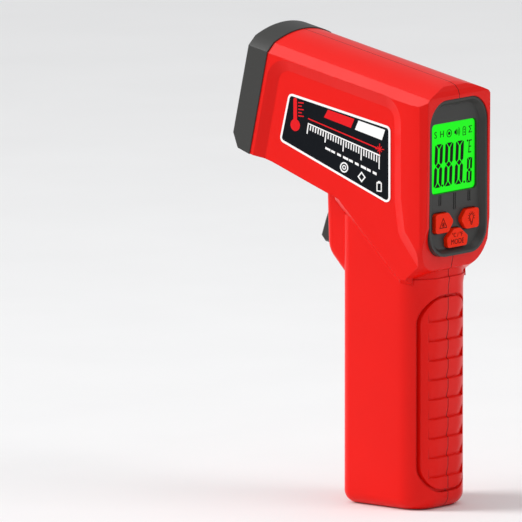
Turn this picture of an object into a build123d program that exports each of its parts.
from build123d import *
import os
from math import cos, radians, sin, tan

# Pistol-grip infrared thermometer, in millimetres. +X is the user's right, +Y is where the sensor looks,
# +Z is up. The origin is the centre of the grip's flat base. Both housing halves meet on the plane X = 0.

# General clearances
WALL = 2.2
SEAM = 0.06
GAP = 0.1
RUNNING = 0.05
DRIVE = 0.01

# Barrel: an arched bar that points up by AXIS_TILT, seen from the side
TOP_SLOPE = 0.195
TOP_Y, TOP_Z = -19.0, 141.25
AXIS_TILT = 12.5
ARCH_DROP, CHAMFER_DROP = 3.2, 3.1
REAR_HALF, REAR_RIB = 18.0, 15.5
NOSE_HALF, NOSE_RIB = 17.1, 14.3
CAP_REAR_Y, CAP_REAR_Z = 45.0, 147.5
CAP_LENGTH, CAP_PROUD, CAP_WALL, CAP_LOW = 8.1, 0.3, 2.6, 112.9
REAR_Y = -21.9
REAR_EDGE_X, REAR_FACET_Y = 16.2, -18.1
ABOVE = 160.0
OUTSIDE = 22.0

# Side panel that is sunk into each flank and holds the label
FLOOR_HALF = 15.5
PANEL_SINK = 3.1
WALL_DRAFT = 63.0
LABEL_THICK, LABEL_RADIUS = 0.25, 1.8
LABEL_CORNERS = [(37.3, 134.5), (41.3, 118.3), (-5.5, 101.3), (-5.5, 127.1)]

# Grip
GRIP_HALF_X, GRIP_HALF_Y = 14.35, 17.3
GRIP_REAR_RADIUS, GRIP_FRONT_RADIUS = 10.0, 4.8
GRIP_FOOT_RADIUS = 4.4
GRIP_TOP, HANDLE_HOLLOW = 96.0, 92.0
COLLAR_LOW, COLLAR_HIGH, COLLAR_STEP = 73.6, 76.9, 0.6
RIB_COUNT, RIB_PITCH, RIB_FIRST = 9, 6.47, 10.6
RIB_RISE, RIB_LEDGE, RIB_DEPTH, RIB_HALF = 3.6, 0.4, 0.8, 8.8
PANEL_HALF, PANEL_LOW, PANEL_HIGH, PANEL_RADIUS = 12.0, 5.6, 71.1, 9.0
GROOVE_WIDTH, GROOVE_DEPTH = 1.0, 1.3

# Display end
BEZEL_HALF_X, BEZEL_LOW, BEZEL_HIGH, BEZEL_RADIUS = 15.1, 84.6, 136.3, 8.6
BEZEL_RIM_Y, PANEL_Y, PANEL_BACK_Y = -21.5, -19.8, -18.0
BEZEL_RIM, BEZEL_LIP, BEZEL_SEAT = 0.9, 2.2, 1.3
LCD_Z, LCD_Y, LCD_FLANGE_Y, LCD_BACK_Y = 116.9, -19.0, -17.95, -16.9
LCD_HALF_X, LCD_HALF_Z, LCD_RADIUS = 11.6, 11.5, 1.5
GLASS_HALF_X, GLASS_HALF_Z = 12.8, 14.0
LIGHT_HALF_X, LIGHT_HALF_Z = 12.6, 11.6
STRIP_HALF_X, STRIP_NEAR, STRIP_FAR = 11.0, 12.1, 13.8
BOARD_Y, BOARD_THICK, BOARD_HALF_X, BOARD_INSET = -14.6, 1.6, 13.2, 1.8
BOARD_BACK_Y = BOARD_Y + BOARD_THICK
POSTS = [(-8.5, 132.6), (8.5, 132.6), (-9.0, 90.3), (9.0, 90.3)]
POST_RADIUS, POST_BORE, BOARD_SCREW_RADIUS, BOARD_SCREW_HEAD = 1.5, 0.72, 0.7, 1.2
CHIPS = [(-5, 5, 1.4, 117.0, 125.0), (-10, -5, 1.2, 97.0, 103.0), (6, 10, 1.8, 92.0, 99.0)]
BUZZER_Z, BUZZER_RADIUS, BUZZER_THICK = 109.5, 6.0, 5.0
GROOVE_PAIRS = [(-7.6, -15.5), (0.0, -17.4), (7.6, -15.5)]
GROOVE_SPLIT, GROOVE_TOP, GROOVE_HALF, GROOVE_SINK = 0.45, -11.9, 0.2, 0.5

# Keys: each outline is given in x and height above the key row's line
KEY_ROW_Z = 116.5
KEY_TOP_Y, KEY_FOOT_Y, KEY_FLANGE_Y, KEY_STEM_Y = -21.1, -16.9, -17.75, -15.95
KEY_GAP, KEY_FLANGE, KEY_STEM_RADIUS = 0.25, 0.4, 1.6
KEY_CENTRES = {"laser_key": (-7.0, -20.75), "light_key": (7.0, -20.75), "mode_key": (0.0, -26.4)}
SIDE_KEY = [(11.3, -17.5), (4.6, -17.5), (1.9, -20.55), (4.6, -24.0), (11.3, -24.0)]
SIDE_KEY_RADII = [1.2, 1.5, 1.2, 1.5, 1.2]
MODE_KEY = [(-1.6, -23.2), (1.6, -23.2), (5.5, -26.2), (4.9, -29.3), (-4.9, -29.3), (-5.5, -26.2)]
MODE_KEY_RADII = [1.0, 1.0, 0.8, 1.0, 1.0, 0.8]
DOME_RADIUS, DOME_RISE = 2.4, 0.35

# Nose optics, measured back from the front face along the barrel's axis
NOSE_CENTRE_Z = 131.0
LENS_RADIUS, LENS_FRONT, LENS_THICK = 8.5, 2.6, 1.5
HOLDER_RADIUS, HOLDER_FRONT, HOLDER_BACK = 9.6, 8.4, 38.0
CAN_RADIUS, CAN_FRONT, CAN_WINDOW = 4.6, 33.4, 2.2
SENSOR_BOARD_SIZE, SENSOR_BOARD_THICK = 16.0, 1.2
LASER_RISE, LASER_RADIUS, LASER_FRONT, LASER_BACK = 13.6, 3.0, 3.2, 20.0
LASER_LENS, LASER_PORT = 1.3, 1.6
WEB_DEPTHS, WEB_THICK = (15.0, 31.0), 1.6

# Trigger
PIVOT_Y, PIVOT_Z, PIVOT_RADIUS, PIVOT_BOSS, PIVOT_HALF = 21.0, 99.2, 1.0, 2.9, 7.9
TRIGGER_HALF, TAIL_HALF, TRIGGER_CHAMFER = 4.5, 2.6, 0.7
TRIGGER_SLOT = TRIGGER_HALF + 0.3
TRIGGER_BOX_HALF, TRIGGER_BOX_RADIUS = 11.0, 2.6
SPRING_Y, SPRING_LOW, SPRING_HIGH = 11.6, 100.9, 107.0
SPRING_RADIUS, SPRING_WIRE, SPRING_PITCH, SPRING_END = 1.7, 0.25, 1.1, 0.3
SWITCH_HALF, SWITCH_Z, SWITCH_BACK, SWITCH_FRONT, PLUNGER_FRONT = 3.0, 88.0, 14.7, 18.8, 20.9

# Cells and their door
CELL_RADIUS, CELL_LENGTH, CELL_X, CELL_Y, CELL_LOW = 5.25, 44.5, 5.6, 8.2, 14.5
CELL_HIGH = CELL_LOW + CELL_LENGTH
BUTTON_RADIUS, BUTTON_RISE = 1.9, 1.2
TRAY_HALF, TRAY_LOW, TRAY_HIGH, TRAY_BACK, TRAY_FLOOR, TRAY_FRONT = 11.6, 10.6, 63.9, 1.2, 2.6, 13.2
TRAY_END = 1.2
PLATE_THICK, PLATE_BACK, PLATE_FRONT, PLATE_EDGE, PLATE_SPLIT = 0.4, 5.2, 11.2, 8.6, 2.6
STUD_RADIUS = 1.8
CELL_SPRING_RADIUS, CELL_SPRING_WIRE, CELL_SPRING_PITCH = 2.6, 0.28, 0.8
LEAD_RADIUS, LEAD_BEND = 0.6, 4.0
DOOR_HALF, DOOR_LOW, DOOR_HIGH, DOOR_THICK, DOOR_GAP = 9.6, 6.3, 70.0, 2.0, 0.3
HINGE_Y, HINGE_Z, HINGE_RADIUS, HINGE_HALF = GRIP_HALF_Y - DOOR_THICK, 8.3, 0.9, 11.4
LATCH_HALF, LATCH_RISE, LATCH_SINK = 4.0, 1.4, 0.8
THUMB_GROOVES, THUMB_HALF, THUMB_DROP, THUMB_PITCH, THUMB_WIDTH, THUMB_SINK = 3, 5.0, 5.0, 2.4, 1.1, 0.5

# Housing screws, given in y and z
SCREWS = [(38.5, 113.4), (8.0, 138.0), (2.0, 98.6), (-7.4, 67.0), (-7.4, 10.0)]
BOSS_RADIUS, BOSS_END = 2.9, FLOOR_HALF - 2.0
SCREW_RADIUS, SCREW_TIP, SCREW_HEAD_RADIUS, SCREW_HEAD_X, SCREW_TOP = 1.1, 8.6, 2.4, 9.2, 10.9


def top_z(y):
    """Height of the barrel's top line above the point y."""
    return TOP_Z + TOP_SLOPE * (y - TOP_Y)


def cap_rear_y(z):
    """The plane where the nose cap meets the shell."""
    return CAP_REAR_Y + (CAP_REAR_Z - z) * tan(radians(AXIS_TILT))


def cap_front_y(z):
    """The cap's front face."""
    return cap_rear_y(z) + CAP_LENGTH / cos(radians(AXIS_TILT))


def side_prism(outline, half_width):
    """A side outline of (y, z) points, pushed out equally to both sides of the centre plane."""
    face = make_face(Polyline(*[(0, y, z) for y, z in outline], close=True))
    return extrude(face, half_width, dir=(1, 0, 0), both=True)


def block(x0, x1, y0, y1, z0, z1):
    """A box between two corners."""
    return Pos((x0 + x1) / 2, (y0 + y1) / 2, (z0 + z1) / 2) * Box(x1 - x0, y1 - y0, z1 - z0)


def slab(half_x, y0, y1, z0, z1, radius):
    """A round-cornered plate that faces the user, from y0 to y1."""
    plane = Plane(origin=(0, y0, (z0 + z1) / 2), x_dir=(-1, 0, 0), z_dir=(0, 1, 0))
    return extrude(plane * RectangleRounded(2 * half_x, z1 - z0, radius), y1 - y0)


def rod_x(y, z, radius, x0, x1):
    """A round bar across the object."""
    return Pos((x0 + x1) / 2, y, z) * Rot(0, 90, 0) * Cylinder(radius, x1 - x0)


def rod_y(x, z, radius, y0, y1):
    """A round bar along Y."""
    return Pos(x, (y0 + y1) / 2, z) * Rot(90, 0, 0) * Cylinder(radius, y1 - y0)


def nose_plane(back, rise=0.0):
    """The plane across the barrel's axis, so far back from the front face and so far above the lens."""
    tilt = radians(AXIS_TILT)
    y = cap_front_y(NOSE_CENTRE_Z) - back * cos(tilt) - rise * sin(tilt)
    z = NOSE_CENTRE_Z - back * sin(tilt) + rise * cos(tilt)
    return Plane(origin=(0, y, z), x_dir=(1, 0, 0), z_dir=(0, cos(tilt), sin(tilt)))


def nose_rod(radius, front, back, rise=0.0):
    """A round bar along the barrel's axis between two depths behind the front face."""
    return extrude(nose_plane(back, rise) * Circle(radius), back - front)


def arch_section(y, half, rib, grow):
    """The barrel's cross-section: arched roof, chamfered shoulders and upright flanks."""
    slope = (1 + TOP_SLOPE**2) ** 0.5
    up = (0, -TOP_SLOPE / slope, 1 / slope)
    plane = Plane(origin=(0, y, top_z(y)), x_dir=(1, 0, 0), z_dir=(0, -1 / slope, -TOP_SLOPE / slope))
    half, rib, drop = half + grow, rib + grow, ARCH_DROP - grow
    shoulder = -drop - CHAMFER_DROP
    foot = -90
    roof = ThreePointArc((-rib, -drop), (0, grow), (rib, -drop))
    flank = [(rib, -drop), (half, shoulder), (half, foot), (-half, foot), (-half, shoulder), (-rib, -drop)]
    return plane * make_face([roof, Polyline(*flank)])


def barrel_envelope(grow):
    """The arched bar itself, a little wider at the rear than at the nose."""
    rear = arch_section(-30, REAR_HALF, REAR_RIB, grow)
    nose = arch_section(70, NOSE_HALF, NOSE_RIB, grow)
    return loft([rear, nose], ruled=True)


def head():
    """Barrel, display end and neck before they are hollowed."""
    outline = [
        (REAR_Y + 0.6, 83.4), (REAR_Y, 137.0), (REAR_Y, ABOVE), (cap_rear_y(ABOVE), ABOVE),
        (cap_rear_y(113.0), 113.0), (46.3, 111.3), (44.8, 110.9), (24.8, 103.9), (16.0, 100.9), (-9.5, 76.8),
        (-17.8, 76.8), (-21.2, 80.9),
    ]
    solid = side_prism(outline, OUTSIDE) & barrel_envelope(0)
    roof_end = [
        (REAR_Y, 60), (REAR_Y, 137.6), (-21.3, 139.2), (-20.0, 140.6), (-18.0, 141.4), (-10, ABOVE),
        (80, ABOVE), (80, 60),
    ]
    solid = solid & side_prism(roof_end, OUTSIDE)
    wide, edge, ahead = REAR_HALF + 0.2, REAR_EDGE_X, 80
    plan = [(-edge, REAR_Y), (-wide, REAR_FACET_Y), (-wide, ahead), (wide, ahead), (wide, REAR_FACET_Y),
            (edge, REAR_Y)]
    solid = solid & extrude(make_face(Polyline(*plan, close=True)), ABOVE)
    rear = slab_section(-22.5, 17.3, 82.2, 140.6, 10.5)
    front = slab_section(-12.0, wide, 76.5, 164.0, 6.0)
    return solid & (loft([rear, front], ruled=True) + block(-20, 20, -12, ahead, 50, 170))


def slab_section(y, half, low, high, radius):
    """The rear end's rounded outline at y."""
    plane = Plane(origin=(0, y, (low + high) / 2), x_dir=(-1, 0, 0), z_dir=(0, 1, 0))
    return plane * RectangleRounded(2 * half, high - low, radius)


def flank_recess(side):
    """The sunk panel in one flank: a flat floor with long sloping walls at its front, top and rear."""
    spread = PANEL_SINK * tan(radians(WALL_DRAFT))
    corners = [(40.9, 142.3), (40.9 + 72 * tan(radians(AXIS_TILT)), 70.3), (-24.0, 70.3), (-18.5, 80.0),
               (-8.8, 91.5), (-7.0, 104.0), (-7.0, 132.8)]
    radii = [4.0, 6.0, 6.0, 6.0, 8.0, 12.0, 4.5]
    floor = make_face(FilletPolyline(*corners, radius=radii, close=True))
    mouth = offset(floor, spread)
    turned = Plane(origin=(side * FLOOR_HALF, 0, 0), x_dir=(0, 1, 0), z_dir=(1, 0, 0))
    outer = Plane(origin=(side * (FLOOR_HALF + PANEL_SINK), 0, 0), x_dir=(0, 1, 0), z_dir=(1, 0, 0))
    return loft([turned * floor, outer * mouth], ruled=True)


def grip_outline(grow):
    """The grip's plan, broad at the back and tight at the front."""
    half_x, half_y = GRIP_HALF_X + grow, GRIP_HALF_Y + grow
    corners = [(-half_x, -half_y), (half_x, -half_y), (half_x, half_y), (-half_x, half_y)]
    rear, front = GRIP_REAR_RADIUS + grow, GRIP_FRONT_RADIUS + grow
    return make_face(FilletPolyline(*corners, radius=[rear, rear, front, front], close=True))


def grip_layer(low, low_grow, high, high_grow, back=0.0):
    """A slice of the grip whose outline grows from one height to the next, its top moved back."""
    foot = Pos(0, 0, low) * grip_outline(low_grow)
    top = Pos(0, -back, high) * grip_outline(high_grow)
    return loft([foot, top], ruled=True)


def grip():
    """The handle with its rounded foot and a small step behind, under the display end."""
    solid = extrude(grip_outline(0), GRIP_TOP)
    solid = fillet(solid.faces().sort_by(Axis.Z)[0].edges(), GRIP_FOOT_RADIUS)
    return solid + grip_layer(COLLAR_LOW, 0, COLLAR_HIGH, 0, COLLAR_STEP)


def haunch(side):
    """The diagonal shoulder where the flank runs down into the grip."""
    def face(x, low):
        plane = Plane(origin=(side * x, 0, 0), x_dir=(0, 1, 0), z_dir=(1, 0, 0))
        points = [(-12 - low, 76.9 - low), (-9.5 + low, 76.8 - low), (17.5 + low, 101.9 - low), (22, 108),
                  (-12, 108)]
        return plane * make_face(Polyline(*points, close=True))

    return loft([face(FLOOR_HALF, 0), face(GRIP_HALF_X - 0.6, 1.6)], ruled=True)


def trigger_box():
    """The bulge under the barrel that holds the trigger, with rounded front corners."""
    low, mid, high = 74.6, 83.0, 106.0
    corners = [(10, low), (17.2, low), (25.4, mid), (26.2, high), (10, high)]
    profile = make_face(Plane.YZ * FilletPolyline(*corners, radius=[0.5, 3.0, 8.0, 0.5, 0.5], close=True))
    box = extrude(profile, TRIGGER_BOX_HALF, dir=(1, 0, 0), both=True)
    rounded = [e for e in box.edges() if e.center().Y > 17.4 and abs(e.center().X) > TRIGGER_BOX_HALF - 0.5
               and e.center().Z < high - 1]
    return fillet(rounded, TRIGGER_BOX_RADIUS)


def rib_cuts():
    """Nine saw-tooth finger rests across the back of the grip, each deepest at its lower edge."""
    cuts = []
    for index in range(RIB_COUNT):
        low = RIB_FIRST + index * RIB_PITCH
        ledge, high = low + RIB_LEDGE, low + RIB_RISE
        notch = block(-RIB_HALF, RIB_HALF, -GRIP_HALF_Y - 1, -GRIP_HALF_Y + 9, low, high)
        notch = notch - grip_layer(low, 0, ledge, -RIB_DEPTH)
        cuts.append(notch - grip_layer(ledge, -RIB_DEPTH, high, 0))
    return cuts


def panel_groove():
    """The groove that frames the ribs: an upright oval as deep all the way round the grip's back."""
    low, high, width = PANEL_LOW, PANEL_HIGH, GROOVE_WIDTH
    ring = slab(PANEL_HALF, -19, 0, low, high, PANEL_RADIUS)
    ring = ring - slab(PANEL_HALF - width, -20, 1, low + width, high - width, PANEL_RADIUS - width)
    core = extrude(grip_outline(-GROOVE_DEPTH), GRIP_TOP)
    return ring - core


def outer_body():
    """Both housing halves as one solid lump, with every outside feature."""
    body = head()
    for side in (-1, 1):
        body = body - flank_recess(side)
    body = body + grip()
    for side in (-1, 1):
        body = body + haunch(side)
    body = body + trigger_box()
    for cut in rib_cuts():
        body = body - cut
    return body - panel_groove()


def cavity():
    """The space inside the two halves."""
    roof = 7.2
    outline = [(-12.0, 88.0), (-12.0, top_z(-12) - roof), (41.0, top_z(41) - roof),
               (cap_rear_y(116.5) - WALL, 116.5), (44.5, 114.2), (24.0, 106.6), (12.0, 96.0), (-12.0, 87.5)]
    barrel = side_prism(outline, FLOOR_HALF - WALL)
    seat = BEZEL_SEAT
    display = slab(13.7, PANEL_BACK_Y + 0.2, -11.0, BEZEL_LOW + seat, BEZEL_HIGH - seat, BEZEL_RADIUS - seat)
    handle = Pos(0, 0, WALL) * extrude(grip_outline(-WALL), HANDLE_HOLLOW)
    box = block(-8.8, 8.8, 12.0, 23.6, 80.0, 104.0)
    return barrel + display + handle + box


def span_x(side, near, far):
    """The lowest and highest x of a span measured outwards from the centre plane on one side."""
    return min(side * near, side * far), max(side * near, side * far)


def half_bar(side, y, z, radius, near, far):
    """A round bar across one half, from near to far off the centre plane."""
    return rod_x(y, z, radius, *span_x(side, near, far))


def half_block(side, near, far, y0, y1, z0, z1):
    """A box in one half, from near to far off the centre plane."""
    return block(*span_x(side, near, far), y0, y1, z0, z1)


def webs(side):
    """Two plates across the barrel that carry the lens holder and the laser."""
    plates = []
    for back in WEB_DEPTHS:
        web = extrude(nose_plane(back) * Rectangle(60, 80), WEB_THICK) & cavity()
        web = web - nose_rod(HOLDER_RADIUS + GAP, 0, 60) - nose_rod(LASER_RADIUS + GAP, 0, 60, LASER_RISE)
        plates.append(web & half_block(side, SEAM, 60, -60, 90, 50, 200))
    return plates


def screw_hole(side, y, z):
    """A thread core in the left half; a clearance hole and a head pocket in the right one."""
    if side < 0:
        return half_bar(side, y, z, SCREW_RADIUS + 0.02, 0, SCREW_TIP + 0.4)
    clear = half_bar(side, y, z, SCREW_RADIUS + 0.3, 0, SCREW_HEAD_X)
    return clear + half_bar(side, y, z, SCREW_HEAD_RADIUS + GAP, SCREW_HEAD_X, 20)


def openings(side):
    """What is cut from a half: bezel seat, barrel mouth, trigger slot, doorway and hinge hole."""
    seat_back = PANEL_BACK_Y + 0.2 + GAP
    low, high, radius = BEZEL_LOW - GAP, BEZEL_HIGH + GAP, BEZEL_RADIUS + GAP
    doorway, notch = DOOR_HALF + DOOR_GAP, LATCH_HALF + DOOR_GAP
    return [
        slab(BEZEL_HALF_X + GAP, -25, seat_back, low, high, radius),
        nose_rod(12.0, 0, 14),
        nose_rod(4.2, 0, 14, LASER_RISE),
        block(-TRIGGER_SLOT, TRIGGER_SLOT, 12, 40, 82.4, 103.6),
        block(-doorway, doorway, 12.5, 30, DOOR_LOW - DOOR_GAP, DOOR_HIGH + DOOR_GAP),
        block(-notch, notch, 12.5, 30, DOOR_HIGH, DOOR_HIGH + LATCH_RISE + 0.4),
        half_bar(side, HINGE_Y, HINGE_Z, HINGE_RADIUS + DRIVE, 0, HINGE_HALF + GAP),
    ]


def half_shell(side):
    """One housing half: hollow, with webs, bosses, sockets and its share of the openings."""
    body = outer_body() & half_block(side, SEAM, 60, -60, 90, -5, 200)
    body = body - cavity()
    for web in webs(side):
        body = body + web
    for y, z in SCREWS:
        body = body + half_bar(side, y, z, BOSS_RADIUS, SEAM, BOSS_END)
    ceiling = half_block(side, SEAM, BOSS_END, SPRING_Y - 3, SPRING_Y + 3, SPRING_HIGH, SPRING_HIGH + 1.6)
    body = body + ceiling
    for y, z in SCREWS:
        body = body - screw_hole(side, y, z)
    for opening in openings(side):
        body = body - opening
    body = body + half_bar(side, PIVOT_Y, PIVOT_Z, PIVOT_BOSS, TRIGGER_SLOT, TRIGGER_BOX_HALF - 1.5)
    return body - half_bar(side, PIVOT_Y, PIVOT_Z, PIVOT_RADIUS + DRIVE, 0, PIVOT_HALF + GAP)


def shells():
    """The left and right housing halves."""
    return {"left_shell": half_shell(-1), "right_shell": half_shell(1)}


def nose_cap():
    """The dark cap over the barrel's mouth, with the lens opening and the laser's aperture."""
    outline = [(cap_rear_y(ABOVE), ABOVE), (cap_front_y(ABOVE), ABOVE), (cap_front_y(119.6), 119.6),
               (57.6, 114.6), (cap_rear_y(CAP_LOW), CAP_LOW)]
    solid = side_prism(outline, OUTSIDE) & barrel_envelope(CAP_PROUD)
    floor = 117
    inside = [(cap_rear_y(ABOVE) - 1, ABOVE), (cap_front_y(ABOVE) - CAP_WALL, ABOVE),
              (cap_front_y(floor) - CAP_WALL, floor), (cap_rear_y(floor) - 1, floor)]
    hollow = side_prism(inside, 14.6) & barrel_envelope(-2.4)
    hollow = hollow - nose_rod(10.6, -2, 12) - nose_rod(5.0, -2, 12, LASER_RISE)
    mouth = LENS_RADIUS + 0.2
    solid = solid - hollow - nose_rod(mouth, -2, 12)
    solid = solid - nose_plane(1.1) * Cone(mouth, 11.2, 2.2)
    solid = solid - nose_rod(LASER_PORT, -2, 12, LASER_RISE)
    return solid - nose_rod(LASER_RADIUS + GAP, LASER_FRONT - 0.2, 12, LASER_RISE)


def optics():
    """Lens, lens holder, sensor can, sensor board and laser module, all along the barrel's axis."""
    front = LENS_FRONT + LENS_THICK
    throat, throat_back = 4.65, 32.0
    holder = nose_rod(LENS_RADIUS + GAP, front, HOLDER_FRONT)
    holder = holder + nose_rod(HOLDER_RADIUS, HOLDER_FRONT, HOLDER_BACK)
    taper = nose_plane((front + throat_back) / 2) * Cone(throat, 7.4, throat_back - front)
    holder = holder - taper - nose_rod(throat, throat_back - GAP, HOLDER_BACK)
    lens = extrude(nose_plane(front) * Circle(LENS_RADIUS), LENS_THICK)
    can = nose_rod(CAN_RADIUS, CAN_FRONT, HOLDER_BACK)
    can = can - nose_rod(CAN_WINDOW, CAN_FRONT - 0.4, CAN_FRONT + 0.5)
    square = Rectangle(SENSOR_BOARD_SIZE, SENSOR_BOARD_SIZE)
    board = extrude(nose_plane(HOLDER_BACK + SENSOR_BOARD_THICK) * square, SENSOR_BOARD_THICK)
    laser = nose_rod(LASER_RADIUS, LASER_FRONT, LASER_BACK, LASER_RISE)
    laser = laser - nose_rod(LASER_LENS, LASER_FRONT - 0.2, LASER_FRONT + 1.8, LASER_RISE)
    return {
        "lens_holder": holder, "ir_lens": lens, "sensor_can": can, "sensor_board": board,
        "laser_module": laser,
    }


def key_outline(name):
    """A key's outline seen by the user, in x and height."""
    if name == "mode_key":
        return make_face(FilletPolyline(*MODE_KEY, radius=MODE_KEY_RADII, close=True))
    side = -1 if name == "laser_key" else 1
    corners = [(side * x, z) for x, z in SIDE_KEY]
    return make_face(FilletPolyline(*corners, radius=SIDE_KEY_RADII, close=True))


def key_prism(name, y0, y1, grow):
    """A key's outline, grown a little if asked, pushed from y0 to y1."""
    plane = Plane(origin=(0, y1, KEY_ROW_Z), x_dir=(1, 0, 0), z_dir=(0, -1, 0))
    outline = key_outline(name)
    if grow:
        outline = offset(outline, grow)
    return extrude(plane * outline, y1 - y0)


def keys():
    """Three keys, each a cap with a flange behind the panel and a stem over its dome."""
    made = {}
    for name, (x, z) in KEY_CENTRES.items():
        cap = key_prism(name, KEY_TOP_Y, KEY_FOOT_Y, 0)
        flange = key_prism(name, KEY_FLANGE_Y, KEY_FOOT_Y, KEY_FLANGE)
        made[name] = cap + flange + rod_y(x, KEY_ROW_Z + z, KEY_STEM_RADIUS, KEY_FOOT_Y, KEY_STEM_Y)
    return made


def bezel_ring(y, inset):
    """The bezel's outline at y, smaller all round by inset."""
    plane = Plane(origin=(0, y, (BEZEL_LOW + BEZEL_HIGH) / 2), x_dir=(-1, 0, 0), z_dir=(0, 1, 0))
    tall = BEZEL_HIGH - BEZEL_LOW - 2 * inset
    return plane * RectangleRounded(2 * (BEZEL_HALF_X - inset), tall, BEZEL_RADIUS - inset)


def bezel():
    """The dark frame: a raised rim, the display window, key holes, grooves and four screw posts behind."""
    frame = slab(BEZEL_HALF_X, BEZEL_RIM_Y, PANEL_BACK_Y, BEZEL_LOW, BEZEL_HIGH, BEZEL_RADIUS)
    mouth, floor = bezel_ring(BEZEL_RIM_Y - DRIVE, BEZEL_RIM), bezel_ring(PANEL_Y, BEZEL_LIP)
    frame = frame - loft([mouth, floor], ruled=True)
    half_z = LCD_HALF_Z + GAP
    frame = frame - slab(LCD_HALF_X + GAP, -25, -10, LCD_Z - half_z, LCD_Z + half_z, LCD_RADIUS)
    for name in KEY_CENTRES:
        frame = frame - key_prism(name, -25, -10, KEY_GAP)
    for centre, foot in GROOVE_PAIRS:
        for x in (centre - GROOVE_SPLIT, centre + GROOVE_SPLIT):
            left, right = x - GROOVE_HALF, x + GROOVE_HALF
            low, high = LCD_Z + foot, LCD_Z + GROOVE_TOP
            frame = frame - block(left, right, PANEL_Y - 1, PANEL_Y + GROOVE_SINK, low, high)
    for x, z in POSTS:
        frame = frame + rod_y(x, z, POST_RADIUS, PANEL_BACK_Y, BOARD_Y)
        frame = frame - rod_y(x, z, POST_BORE, PANEL_BACK_Y + 0.6, BOARD_Y)
    return frame


def display():
    """Bezel, display glass, backlight, contact strips and the main board behind them."""
    half_x, half_z = LCD_HALF_X - GAP, LCD_HALF_Z - GAP
    glass = slab(half_x, LCD_Y, LCD_FLANGE_Y, LCD_Z - half_z, LCD_Z + half_z, LCD_RADIUS - GAP)
    low, high = LCD_Z - GLASS_HALF_Z, LCD_Z + GLASS_HALF_Z
    glass = glass + slab(GLASS_HALF_X, LCD_FLANGE_Y, LCD_BACK_Y, low, high, 0.5)
    low, high = LCD_Z - LIGHT_HALF_Z, LCD_Z + LIGHT_HALF_Z
    light = slab(LIGHT_HALF_X, LCD_BACK_Y + RUNNING, BOARD_Y - RUNNING, low, high, 0.8)
    strips = []
    for near, far in ((STRIP_NEAR, STRIP_FAR), (-STRIP_FAR, -STRIP_NEAR)):
        strips.append(block(-STRIP_HALF_X, STRIP_HALF_X, LCD_BACK_Y, BOARD_Y, LCD_Z + near, LCD_Z + far))
    low, high = BEZEL_LOW + BOARD_INSET, BEZEL_HIGH - BOARD_INSET
    board = slab(BOARD_HALF_X, BOARD_Y, BOARD_BACK_Y, low, high, BEZEL_RADIUS - BOARD_INSET)
    screws = []
    for x, z in POSTS:
        board = board - rod_y(x, z, BOARD_SCREW_RADIUS + 0.2, BOARD_Y - 1, BOARD_BACK_Y + 1)
        shank = rod_y(x, z, BOARD_SCREW_RADIUS, PANEL_BACK_Y + 0.8, BOARD_BACK_Y)
        screws.append(shank + rod_y(x, z, POST_RADIUS, BOARD_BACK_Y, BOARD_BACK_Y + BOARD_SCREW_HEAD))
    chips = [block(x0, x1, BOARD_BACK_Y, BOARD_BACK_Y + thick, z0, z1) for x0, x1, thick, z0, z1 in CHIPS]
    dome_y = BOARD_Y - DOME_RISE
    domes = [rod_y(x, KEY_ROW_Z + z, DOME_RADIUS, dome_y, BOARD_Y) for x, z in KEY_CENTRES.values()]
    buzzer = rod_y(0, BUZZER_Z, BUZZER_RADIUS, BOARD_BACK_Y, BOARD_BACK_Y + BUZZER_THICK)
    return {
        "display_bezel": bezel(), "lcd_glass": glass, "backlight": light, "contact_strips": Compound(strips),
        "main_board": board, "board_chips": Compound(chips), "board_screws": Compound(screws),
        "key_domes": Compound(domes), "buzzer": buzzer,
    }


def coil(x, y, low, high, radius, wire, pitch):
    """A compression spring between two heights."""
    path = Pos(x, y, low + SPRING_END) * Helix(pitch=pitch, height=high - low - 2 * SPRING_END, radius=radius)
    return sweep(Plane(origin=path @ 0, z_dir=path % 0) * Circle(wire), path=path)


def trigger_parts():
    """Trigger, its pin, return spring and switch."""
    blade = [(19.2, 97.4), (23.0, 92.0), (24.4, 85.0), (26.8, 83.7), (31.4, 84.4), (33.1, 86.3),
             (31.2, 92.0), (29.2, 97.0), (27.6, 100.6), (24.4, 102.0), (19.2, 101.4)]
    tail = [(22.0, 98.2), (9.6, 98.8), (9.6, SPRING_LOW), (22.0, 101.2)]
    trigger = side_prism(blade, TRIGGER_HALF)
    edge, ahead = TRIGGER_HALF - GAP, 26.5
    finger_side = [e for e in trigger.edges() if abs(e.center().X) > edge and e.center().Y > ahead]
    trigger = chamfer(finger_side, TRIGGER_CHAMFER) + side_prism(tail, TAIL_HALF)
    trigger = trigger - rod_x(PIVOT_Y, PIVOT_Z, PIVOT_RADIUS + RUNNING, -9, 9)
    spring = coil(0, SPRING_Y, SPRING_LOW, SPRING_HIGH, SPRING_RADIUS, SPRING_WIRE, SPRING_PITCH)
    half, front = SWITCH_HALF, SWITCH_FRONT
    switch = block(-half, half, SWITCH_BACK, front, SWITCH_Z - half, SWITCH_Z + half)
    switch = switch + rod_y(0, SWITCH_Z, half / 2, front, PLUNGER_FRONT)
    return {
        "trigger": trigger, "trigger_pin": rod_x(PIVOT_Y, PIVOT_Z, PIVOT_RADIUS, -PIVOT_HALF, PIVOT_HALF),
        "trigger_spring": spring, "trigger_switch": switch,
        "switch_board": block(-7.5, 7.5, SWITCH_BACK - 1.5, SWITCH_BACK, 81.5, 94.0),
    }


def cell(side, button_up):
    """One AAA cell: its can and the smaller positive button."""
    can = CELL_LENGTH - BUTTON_RISE
    can_z, button_z = CELL_HIGH - can / 2, CELL_LOW + BUTTON_RISE / 2
    if button_up:
        can_z, button_z = CELL_LOW + can / 2, CELL_HIGH - BUTTON_RISE / 2
    body = Pos(side * CELL_X, CELL_Y, can_z) * Cylinder(CELL_RADIUS, can)
    return body + Pos(side * CELL_X, CELL_Y, button_z) * Cylinder(BUTTON_RADIUS, BUTTON_RISE)


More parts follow.
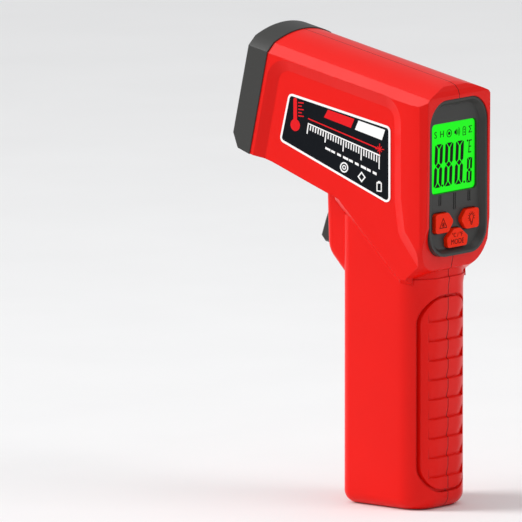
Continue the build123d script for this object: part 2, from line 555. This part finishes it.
def battery_tray():
    """The tray behind the cells, with an end wall at each end."""
    tray = block(-TRAY_HALF, TRAY_HALF, TRAY_BACK, TRAY_FLOOR, TRAY_LOW, TRAY_HIGH)
    for low in (TRAY_LOW, TRAY_HIGH - TRAY_END):
        tray = tray + block(-TRAY_HALF, TRAY_HALF, TRAY_FLOOR, TRAY_FRONT, low, low + TRAY_END)
    return tray


def stud(x, low, high):
    """A round contact stud between two heights."""
    return Pos(x, CELL_Y, (low + high) / 2) * Cylinder(STUD_RADIUS, high - low)


def contact_plates():
    """The joined pair of contacts at the foot and the two separate ones at the top."""
    foot, top = TRAY_LOW + TRAY_END, TRAY_HIGH - TRAY_END
    foot_face, top_face = foot + PLATE_THICK, top - PLATE_THICK
    joined = block(-PLATE_EDGE, PLATE_EDGE, PLATE_BACK, PLATE_FRONT, foot, foot_face)
    joined = joined + stud(-CELL_X, foot_face, CELL_LOW)
    minus = block(-PLATE_EDGE, -PLATE_SPLIT, PLATE_BACK, PLATE_FRONT, top_face, top)
    plus = block(PLATE_SPLIT, PLATE_EDGE, PLATE_BACK, PLATE_FRONT, top_face, top)
    return [joined, minus, plus + stud(CELL_X, CELL_HIGH, top_face)]


def battery_door():
    """The hinged cover of the battery bay: hinge barrel, plate, latch tongue and thumb grooves."""
    door = block(-DOOR_HALF, DOOR_HALF, HINGE_Y, GRIP_HALF_Y, HINGE_Z, DOOR_HIGH)
    door = door + rod_x(HINGE_Y, HINGE_Z, DOOR_THICK, -DOOR_HALF, DOOR_HALF)
    latch_top = DOOR_HIGH + LATCH_RISE
    door = door + block(-LATCH_HALF, LATCH_HALF, HINGE_Y, GRIP_HALF_Y - LATCH_SINK, DOOR_HIGH, latch_top)
    for index in range(THUMB_GROOVES):
        z = DOOR_HIGH - THUMB_DROP - THUMB_PITCH * index
        floor = GRIP_HALF_Y - THUMB_SINK
        door = door - block(-THUMB_HALF, THUMB_HALF, floor, GRIP_HALF_Y + 1, z, z + THUMB_WIDTH)
    return door - rod_x(HINGE_Y, HINGE_Z, HINGE_RADIUS + RUNNING, -12, 12)


def battery_lead(side):
    """One insulated wire from the top contacts to the main board."""
    route = FilletPolyline((side * 5.6, 0.4, 61.0), (side * 5.6, -2.0, 73.0), (side * 4.5, -7.0, 84.0),
                           (side * 4.5, -11.6, 92.5), radius=[LEAD_BEND, LEAD_BEND])
    return sweep(Plane(origin=route @ 0, z_dir=route % 0) * Circle(LEAD_RADIUS), path=route)


def battery_parts():
    """Cells, their tray and contacts, and the hinged door in the front of the grip."""
    foot_face, top_face = TRAY_LOW + TRAY_END + PLATE_THICK, TRAY_HIGH - TRAY_END - PLATE_THICK
    radius, wire, pitch = CELL_SPRING_RADIUS, CELL_SPRING_WIRE, CELL_SPRING_PITCH
    springs = [
        coil(CELL_X, CELL_Y, foot_face, CELL_LOW, radius, wire, pitch),
        coil(-CELL_X, CELL_Y, CELL_HIGH, top_face, radius, wire, pitch),
    ]
    return {
        "battery_tray": battery_tray(), "cell_contacts": Compound(contact_plates()),
        "cell_left": cell(-1, False), "cell_right": cell(1, True), "cell_springs": Compound(springs),
        "battery_door": battery_door(),
        "door_pin": rod_x(HINGE_Y, HINGE_Z, HINGE_RADIUS, -HINGE_HALF, HINGE_HALF),
        "battery_leads": Compound([battery_lead(side) for side in (-1, 1)]),
    }


def label(side):
    """The printed label on one flank."""
    face = make_face(FilletPolyline(*LABEL_CORNERS, radius=LABEL_RADIUS, close=True))
    plane = Plane(origin=(side * FLOOR_HALF, 0, 0), x_dir=(0, 1, 0), z_dir=(1, 0, 0))
    return extrude(plane * face, side * LABEL_THICK)


def small_parts():
    """The housing screws and the flat ribbon between the sensor board and the main board."""
    screws = []
    for y, z in SCREWS:
        shank = rod_x(y, z, SCREW_RADIUS, -SCREW_TIP, SCREW_HEAD_X)
        screws.append(shank + rod_x(y, z, SCREW_HEAD_RADIUS, SCREW_HEAD_X, SCREW_TOP))
    ribbon = [(-13.0, 129.0), (-9.0, 128.4), (6.0, 125.0), (17.2, 123.4), (17.2, 123.9), (6.0, 125.6),
              (-9.0, 129.0), (-13.0, 129.5)]
    return {"housing_screws": Compound(screws), "sensor_ribbon": side_prism(ribbon, 4.0)}


def main():
    """Writes each piece to its own STEP file."""
    os.makedirs("parts", exist_ok=True)
    pieces = {"nose_cap": nose_cap(), "left_label": label(-1), "right_label": label(1)}
    for group in (shells, optics, display, keys, trigger_parts, battery_parts, small_parts):
        pieces.update(group())
    for name, shape in pieces.items():
        export_step(shape, f"parts/{name}.step")


if __name__ == "__main__":
    main()
